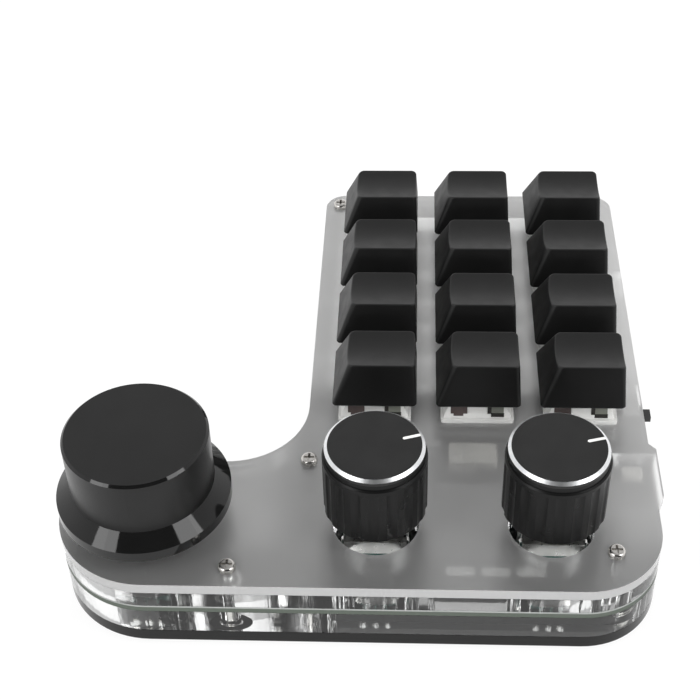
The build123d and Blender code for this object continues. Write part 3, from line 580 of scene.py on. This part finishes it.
def keycap(row, column, x, y):
    """A hollow keycap with rounded edges, a scooped top and a cross post."""
    piece = Piece(f"cap_r{row}_c{column}")
    levels = [cap_top(px) / CAP_HEIGHT for px, _ in cap_ring(1.0)]

    def wall(share, inset=0.0):
        """Points round the outside whose height follows the scoop of the top."""
        ring = []
        for k, level in enumerate(levels):
            px, py = cap_ring(share * level, inset)[k]
            ring.append((px, py, CAP_HEIGHT * share * level))
        return ring

    # Height, share and inset of each ring from the middle of the roof, down the
    # inside of the wall and round its foot
    inside_out = [(CAP_HEIGHT - CAP_ROOF, ROOF_SHARE, CAP_WALL + 2.2),
                  (CAP_HEIGHT - CAP_ROOF, ROOF_SHARE, CAP_WALL), (0.2, 0.02, CAP_WALL),
                  (0.0, 0.0, CAP_WALL - 0.2), (0.0, 0.0, 0.25), (0.25, 0.03, 0.0)]
    rings = [[(px, py, height) for px, py in cap_ring(share, inset)]
             for height, share, inset in inside_out]
    rings += [wall(share) for share in (0.25, 0.5, 0.75)]
    below = wall(1 - CAP_ROUNDING / CAP_HEIGHT)
    corner = wall(1.0)
    inside = [(px, py, cap_top(px)) for px, py, _ in wall(1.0, CAP_ROUNDING)]
    for s in (k / 6 for k in range(7)):
        rings.append([(1 - s) ** 2 * Vector(a) + 2 * s * (1 - s) * Vector(b) + s ** 2 * Vector(c)
                      for a, b, c in zip(below, corner, inside)])
    middle = (CAP_TOP_REAR - CAP_TOP_FRONT) / 2
    for share in (0.75, 0.5, 0.25, 0.08):
        rings.append([(px * share, middle + (py - middle) * share, cap_top(px * share))
                      for px, py, _ in inside])
    piece.shell([[(px + x, py + y, pz + CAP_LOW) for px, py, pz in ring] for ring in rings])
    cross_post(piece, x, y)
    cap = piece.done("keycap_black", f"key_r{row}_c{column}", sharp=50.0)
    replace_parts(cap, f"keycap_r{row}_c{column}")


def cross_post(piece, x, y):
    """The post under a keycap's roof, a tube whose hole is a cross."""
    long, arm_x, arm_y, radius = 2.02, 0.67, 0.57, 2.6
    low, roof = CAP_LOW + 1.15, CAP_LOW + 4.8
    cross = [(long, -arm_y), (long, arm_y), (arm_x, arm_y), (arm_x, long),
             (-arm_x, long), (-arm_x, arm_y), (-long, arm_y), (-long, -arm_y),
             (-arm_x, -arm_y), (-arm_x, -long), (arm_x, -long), (arm_x, -arm_y)]
    around = [on_circle(0.0, 0.0, radius, a) for a in range(0, 360, 10)]
    mesh = piece.mesh

    def loop(points, z):
        """A ring of new corners at one height."""
        return [mesh.verts.new(at(x + px, y + py, z)) for px, py in points]

    def walls(first, second):
        """Faces between two rings."""
        for k in range(len(first)):
            after = (k + 1) % len(first)
            mesh.faces.new((first[k], first[after], second[after], second[k]))

    outer_low = loop(around, low)
    outer_high = loop(around, CAP_LOW + CAP_HEIGHT - CAP_ROOF + 0.2)
    inner_low = loop(cross, low)
    inner_high = loop(cross, roof)
    walls(outer_low, outer_high)
    walls(inner_low, inner_high)
    mesh.faces.new(outer_high)
    mesh.faces.new(inner_high)
    edges = []
    for ring in (outer_low, inner_low):
        edges += [mesh.edges.get((ring[k], ring[(k + 1) % len(ring)])) for k in range(len(ring))]
    bmesh.ops.triangle_fill(mesh, edges=edges, use_beauty=True)


# ---------------------------------------------------------------- fine parts

def knob_disc(name, x, y):
    """A small knob's disc: a narrow bright bevel round a black face, and a white pointer line."""
    radius, face_radius, bevel, seat_radius, seat = 9.72, 9.1, 0.54, 7.5, 0.82
    low, high = (corner.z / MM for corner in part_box(f"{name}_cap"))
    face = high - 0.02
    disc = Piece(f"{name}_disc")
    disc.lathe(x, y, [(seat_radius, low), (seat_radius, low + seat), (radius, low + seat),
                      (radius, face - bevel), (face_radius, face)], 96)
    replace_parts(disc.done("knob_face", f"{name}_push", sharp=20.0), f"{name}_cap")

    start, end, half = 5.6, 9.12, 0.33
    outline = [(end, -half), (end, half)]
    outline += [(start + half - half * math.sin(a), half * math.cos(a))
                for a in (math.pi * k / 8 for k in range(9))]
    way = math.radians(90 + POINTER_TURNS[name])
    cos, sin = math.cos(way), math.sin(way)
    corners = [(x + u * cos - v * sin, y + u * sin + v * cos) for u, v in outline]
    pointer = Piece(f"{name}_pointer")
    pointer.prism(corners, face - 0.1, high)
    pointer.done("print_white", f"{name}_push")


def spring(row, column, x, y):
    """One switch's coil spring, built at one fixed length; the real one shortens as its key goes
    down.
    """
    piece = Piece(f"spring_r{row}_c{column}")
    low, high = (corner.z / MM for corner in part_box("switch_springs"))
    turns, steps, wire, radius = 7, 20, 0.14, 2.07
    rings = []
    for k in range(turns * steps + 1):
        a = 2 * math.pi * k / steps
        z = low + wire + (high - low - 2 * wire) * k / (turns * steps)
        ring = []
        for b in (math.pi * j / 3 for j in range(6)):
            out = radius + wire * math.cos(b)
            ring.append((x + out * math.cos(a), y + out * math.sin(a), z + wire * math.sin(b)))
        rings.append(ring)
    piece.shell(rings)
    coil = piece.done("spring_steel", "case")
    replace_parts(coil, "switch_springs")
    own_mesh(coil)


HOOD_HALF = 7.3  # from the middle to the front of a switch's hood, at its foot
HOOD_FOOT = 1.02  # above the deck
HOOD_HEIGHT = 5.58
HOOD_DRAFT = 2.1  # how far the front goes in over that height
# The left, sill and right panels are partly the inner parts seen through the hood and partly
# painted shade cast by the keycap
# Panels on each face of a hood: piece, reach along y, heights above the deck, how proud
HOOD_PANELS = (
    ("tab", -2.0, 2.0, 2.3, 4.6, 0.32),
    ("left", -5.7, -2.15, 2.0, 4.3, 0.03),
    ("left", -5.1, -3.0, 1.5, 2.0, 0.03),
    ("sill", 2.15, 3.0, 2.0, 4.3, 0.03),
    ("sill", 2.9, 5.7, 1.35, 2.2, 0.05),
    ("right", 3.0, 5.6, 2.2, 4.3, 0.03),
)
# Pads on each face of the flange under it: reach along x, reaches along y, heights
PAD_X = (7.35, 7.86)
PADS_Y = ((-5.5, -2.9), (-0.95, 0.95), (2.9, 5.5))
PAD_Z = (0.35, 1.1)


def hood_x(z):
    """How far out the front of a switch's hood is at one height."""
    return HOOD_HALF - (z - DECK - HOOD_FOOT) * HOOD_DRAFT / HOOD_HEIGHT


def hood_panel(piece, x, y, side, y0, y1, z0, z1, proud):
    """A thin panel on the sloping front or rear face of a switch's hood."""
    rings = []
    for z in (DECK + z0, DECK + z1):
        inner, outer = x + side * (hood_x(z) - 0.25), x + side * (hood_x(z) + proud)
        corners = ((inner, y0), (outer, y0), (outer, y1), (inner, y1))
        rings.append([(px, y + py, z) for px, py in corners])
    piece.shell(rings)


def switch_fronts():
    """The tabs, windows and pads on both faces of the switch housings; the windows' dark colours
    are partly the inner parts seen through the housing and partly painted shade under the keycaps.
    """
    pieces = {"tab": Piece("switch_tabs"), "left": Piece("switch_windows_and_shade_left"),
              "sill": Piece("switch_window_sills_and_shade"), "right": Piece("switch_windows_and_shade_right")}
    for _, _, x, y in KEYS:
        for side in (1, -1):
            for name, *panel in HOOD_PANELS:
                hood_panel(pieces[name], x, y, side, *panel)
            inner, outer = sorted(x + side * out for out in PAD_X)
            for y0, y1 in PADS_Y:
                pieces["tab"].box(inner, y + y0, DECK + PAD_Z[0], outer, y + y1, DECK + PAD_Z[1])
    pieces["tab"].done("switch_white", "case", 0.08)
    pieces["left"].done("window_and_shade_brown", "case")
    pieces["sill"].done("window_and_shade_dark", "case")
    pieces["right"].done("window_and_shade_grey", "case")


def encoder_shells():
    """The thin bent sleeve and corner ears round each encoder's frame."""
    piece = Piece("encoder_sleeves")
    low, high, half = BOARD_TOP + 3.6, BOARD_TOP + 6.98, 6.0
    bend, ear_x, ear_width, ear_thickness, ear_drop = 0.5, 4.9, 0.9, 0.14, 2.2
    for x, y in ENCODERS:
        for side in (-1, 1):
            x0, x1 = sorted((x + side * 5.86, x + side * 5.98))
            piece.box(x0, y - half, low, x1, y + half, high)
            wall = y + side * 5.9
            ear = [(wall + side * (0.25 + bend * math.cos(a)), high - 0.35 + bend * math.sin(a))
                   for a in (math.radians(100 - 25 * k) for k in range(6))]
            ear.append((wall + side * 0.62, high - ear_drop))
            for end in (-1, 1):
                piece.strip(ear, x + end * ear_x, ear_width, ear_thickness, side)
    piece.done("frame_zinc", "case", 0.04)


# Low white sockets on the board: x and y of two corners, and height
SOCKETS = ((11.8, 15.9, 17.6, 26.1, 3.4), (18.1, 51.8, 21.1, 56.0, 3.4))
# White blocks printed on the board: x of both ends, where each starts along y, length
PRINT_X = (44.2, 46.5)
PRINTS_Y = (15.0, 21.9, 28.8)
PRINT_LENGTH = 5.7


def board_prints():
    """The printed blocks and the sockets, seen dimly through the frosted sheet."""
    low = BOARD_TOP + 0.012
    prints = Piece("board_prints")
    for y in PRINTS_Y:
        prints.prism(rounded(PRINT_X[0], y, PRINT_X[1], y + PRINT_LENGTH, 0.9), low, low + 0.03)
    prints.done("print_white", "case")
    sockets = Piece("board_sockets")
    for x0, y0, x1, y1, height in SOCKETS:
        sockets.prism(rounded(x0, y0, x1, y1, 0.7), low, BOARD_TOP + height)
    sockets.done("plug_white", "case", 0.15)


def screw_pads():
    """A dark disc of painted shade and a bright ring on the base round each screw; at one also on
    the board.
    """
    dark = Piece("screw_contact_discs")
    bright = Piece("screw_board_rings")
    disc_hole, base_ring, board_ring, gap = 2.45, (2.14, 2.42), (1.9, 2.7), 0.06
    low = BASE_TOP + gap
    for x, y, radius in SCREWS:
        # Painted shade: a matte dark disc where the clear sheets round the screw show dark
        dark.washer(x, y, disc_hole, radius, low, low + 0.03)
        bright.washer(x, y, *base_ring, low, low + 0.10)
    x, y, _ = FRONT_SCREW
    bright.washer(x, y, *board_ring, BOARD_TOP + gap, BOARD_TOP + gap + 0.02)
    dark.done("painted_shade_black", "case")
    bright.done("solder", "case")


# Pins under the board, from the middle of a switch or an encoder, and the
# radius and height of the solder on them
SWITCH_PINS = ((-3.81, 2.54), (2.54, 5.08))
SWITCH_SOLDER = (1.05, 1.15)
ENCODER_PINS = ((7.3, -2.5), (7.3, 0.0), (7.3, 2.5), (-7.3, -2.5), (-7.3, 2.5))
ENCODER_SOLDER = (0.85, 1.3)


def solder_joints():
    """A small cone of solder on every pin under the board."""
    piece = Piece("solder_joints")
    joints = [(x + dx, y + dy, *SWITCH_SOLDER) for _, _, x, y in KEYS for dx, dy in SWITCH_PINS]
    joints += [(x + dx, y + dy, *ENCODER_SOLDER) for x, y in ENCODERS for dx, dy in ENCODER_PINS]
    for x, y, radius, height in joints:
        profile = [(radius, BOARD_LOW - 0.01), (radius * 0.78, BOARD_LOW - height * 0.3),
                   (radius * 0.55, BOARD_LOW - height * 0.65), (radius * 0.4, BOARD_LOW - height)]
        piece.lathe(x, y, profile, 16)
    piece.done("solder", "case")


def socket_contacts():
    """Twelve gold contacts on each face of the tongue in the USB socket."""
    piece = Piece("usb_contacts")
    middle, spacing, half, start, end = -41.0, 0.5, 0.13, 53.2, 57.0
    tongue = BOARD_TOP + 1.62
    for x in (middle + (k - 5.5) * spacing for k in range(12)):
        for side in (-1, 1):
            z0, z1 = sorted((tongue + side * 0.34, tongue + side * 0.38))
            piece.box(x - half, start, z0, x + half, end, z1)
    piece.done("gold", "case")


def add_parts():
    """Everything that the scene adds to the CAD nodes."""
    for row, column, x, y in KEYS:
        keycap(row, column, x, y)
        spring(row, column, x, y)
    for name, (x, y) in KNOBS.items():
        knob_disc(name, x, y)
    switch_fronts()
    encoder_shells()
    board_prints()
    screw_pads()
    solder_joints()
    socket_contacts()


# ---------------------------------------------------------------- studio

# From here on in metres of the shared frame
MIDDLE = (0.0, 0.0, 0.02)
NEAR_DIAL = (0.045, -0.044, 0.027)
LAMP_DISTANCE = 1.2
FLAG_DISTANCE = 1.7
FLOOR_SIZE = 6.0


def add_camera():
    """The photograph's camera: place, pitch, yaw, roll and focal length."""
    place = (0.236898, 0.009718, 0.235914)
    pitch, yaw, roll = 0.731314, -0.0594757, 0.0311685
    level = math.cos(pitch)
    ahead = Vector((-level * math.cos(yaw), level * math.sin(yaw), -math.sin(pitch)))
    right = Vector((math.sin(yaw), math.cos(yaw), 0.0))
    down = ahead.cross(right)
    side = math.cos(roll) * right + math.sin(roll) * down
    below = math.cos(roll) * down - math.sin(roll) * right
    turn = Matrix((side, -below, -ahead)).transposed().to_4x4()
    data = bpy.data.cameras.new("camera")
    data.lens = 73.503
    data.sensor_width = 36.0
    data.clip_start = 0.01
    camera = add_object("camera", data)
    camera.matrix_world = Matrix.Translation(place) @ turn
    bpy.context.scene.camera = camera


def seen_share(tree):
    """1 for rays that show the background: from the camera, off gloss, or through glass."""
    path = tree.nodes.new("ShaderNodeLightPath")
    total = path.outputs["Is Camera Ray"]
    for name in ("Is Glossy Ray", "Is Transmission Ray"):
        node = tree.nodes.new("ShaderNodeMath")
        node.operation = "MAXIMUM"
        tree.links.new(total, node.inputs[0])
        tree.links.new(path.outputs[name], node.inputs[1])
        total = node.outputs["Value"]
    return total


def add_world():
    """A white sweep round the object that darkens towards the ceiling."""
    world = bpy.data.worlds.new("studio")
    bpy.context.scene.world = world
    world.use_nodes = True
    tree = world.node_tree
    background = tree.nodes["Background"]
    way = tree.nodes.new("ShaderNodeTexCoord").outputs["Generated"]
    split = tree.nodes.new("ShaderNodeSeparateXYZ")
    tree.links.new(way, split.inputs["Vector"])
    mix = tree.nodes.new("ShaderNodeMix")
    mix.data_type = "RGBA"
    # Levels at the horizon and at the ceiling: as light on the object, then as it shows
    for socket, horizon, ceiling in ((6, 0.86, 0.46), (7, 1.0, 0.4)):
        ramp = tree.nodes.new("ShaderNodeValToRGB")
        stops = ramp.color_ramp.elements
        stops[0].position, stops[1].position = 0.3, 0.9
        stops[0].color, stops[1].color = colour(horizon), colour(ceiling)
        tree.links.new(split.outputs["Z"], ramp.inputs["Fac"])
        tree.links.new(ramp.outputs["Color"], mix.inputs[socket])
    tree.links.new(seen_share(tree), mix.inputs[0])
    tree.links.new(mix.outputs[2], background.inputs["Color"])


def rectangle(name, width, height):
    """A level rectangle's mesh, centred on the origin."""
    x, y = width / 2, height / 2
    mesh = bpy.data.meshes.new(name)
    mesh.from_pydata([(-x, -y, 0), (x, -y, 0), (x, y, 0), (-x, y, 0)], [], [(0, 1, 2, 3)])
    return mesh


def add_floor():
    """A wide pale desk that shows as white but keeps the object's shadow."""
    mesh = rectangle("floor", FLOOR_SIZE, FLOOR_SIZE)
    floor = add_object("floor", mesh)
    material = bpy.data.materials.new("floor")
    material.use_nodes = True
    tree = material.node_tree
    plain = tree.nodes["Principled BSDF"]
    plain.inputs["Base Color"].default_value = colour(0.82)
    plain.inputs["Roughness"].default_value = 0.8
    plain.inputs["Specular IOR Level"].default_value = 0.0
    glow = tree.nodes.new("ShaderNodeEmission")
    glow.inputs["Strength"].default_value = 1.06
    mix = tree.nodes.new("ShaderNodeMixShader")
    share = tree.nodes.new("ShaderNodeMath")
    share.operation = "MULTIPLY"
    share.inputs[1].default_value = 0.86
    tree.links.new(seen_share(tree), share.inputs[0])
    tree.links.new(share.outputs["Value"], mix.inputs[0])
    tree.links.new(plain.outputs[0], mix.inputs[1])
    tree.links.new(glow.outputs[0], mix.inputs[2])
    tree.links.new(mix.outputs[0], tree.nodes["Material Output"].inputs["Surface"])
    mesh.materials.append(material)


def towards(azimuth, elevation):
    """A direction from its compass angle, counted from +X, and its height angle."""
    a, e = math.radians(azimuth), math.radians(elevation)
    return Vector((math.cos(e) * math.cos(a), math.cos(e) * math.sin(a), math.sin(e)))


def add_lamp(name, target, azimuth, elevation, width, height, watts, mirrored=True):
    """A soft rectangular lamp that faces a point of the object; mirrored if gloss shows it."""
    data = bpy.data.lights.new(name, "AREA")
    data.shape = "RECTANGLE"
    data.size = width
    data.size_y = height
    data.energy = watts
    lamp = add_object(name, data)
    way = towards(azimuth, elevation)
    lamp.location = Vector(target) + way * LAMP_DISTANCE
    lamp.rotation_euler = way.to_track_quat("Z", "Y").to_euler()
    lamp.visible_camera = False
    lamp.visible_glossy = mirrored
    lamp.visible_transmission = mirrored


def add_flag(azimuth, elevation, width, height):
    """A dark panel out of view, which keeps the near side of black gloss dark."""
    place = towards(azimuth, elevation) * FLAG_DISTANCE
    mesh = rectangle("flag", width, height)
    flag = add_object("flag", mesh)
    flag.location = place
    flag.rotation_euler = place.to_track_quat("Z", "Y").to_euler()
    material = bpy.data.materials.new("flag")
    material.use_nodes = True
    plain = material.node_tree.nodes["Principled BSDF"]
    plain.inputs["Base Color"].default_value = colour(0.01)
    plain.inputs["Roughness"].default_value = 1.0
    mesh.materials.append(material)
    flag.visible_camera = False
    flag.visible_transmission = False
    flag.visible_diffuse = False
    flag.visible_shadow = False


def add_studio():
    """The world, the floor, four lamps and the flag."""
    add_world()
    add_floor()
    add_lamp("lamp_left", NEAR_DIAL, -49.6, 41.0, 0.44, 0.6, 3.8)
    add_lamp("lamp_right", NEAR_DIAL, 66.0, 46.0, 0.46, 0.6, 4.0)
    add_lamp("lamp_back", MIDDLE, 180.0, 46.0, 0.45, 0.6, 9.0, False)
    add_lamp("lamp_front", MIDDLE, 4.0, 13.0, 0.9, 0.3, 5.0, False)
    add_flag(10.0, 36.0, 3.2, 2.6)


scene = bpy.context.scene
scene.view_settings.view_transform = "Standard"
scene.cycles.max_bounces = 24
scene.cycles.transmission_bounces = 20
scene.cycles.glossy_bounces = 12
add_camera()
add_studio()
make_materials()
dress_nodes()
add_parts()
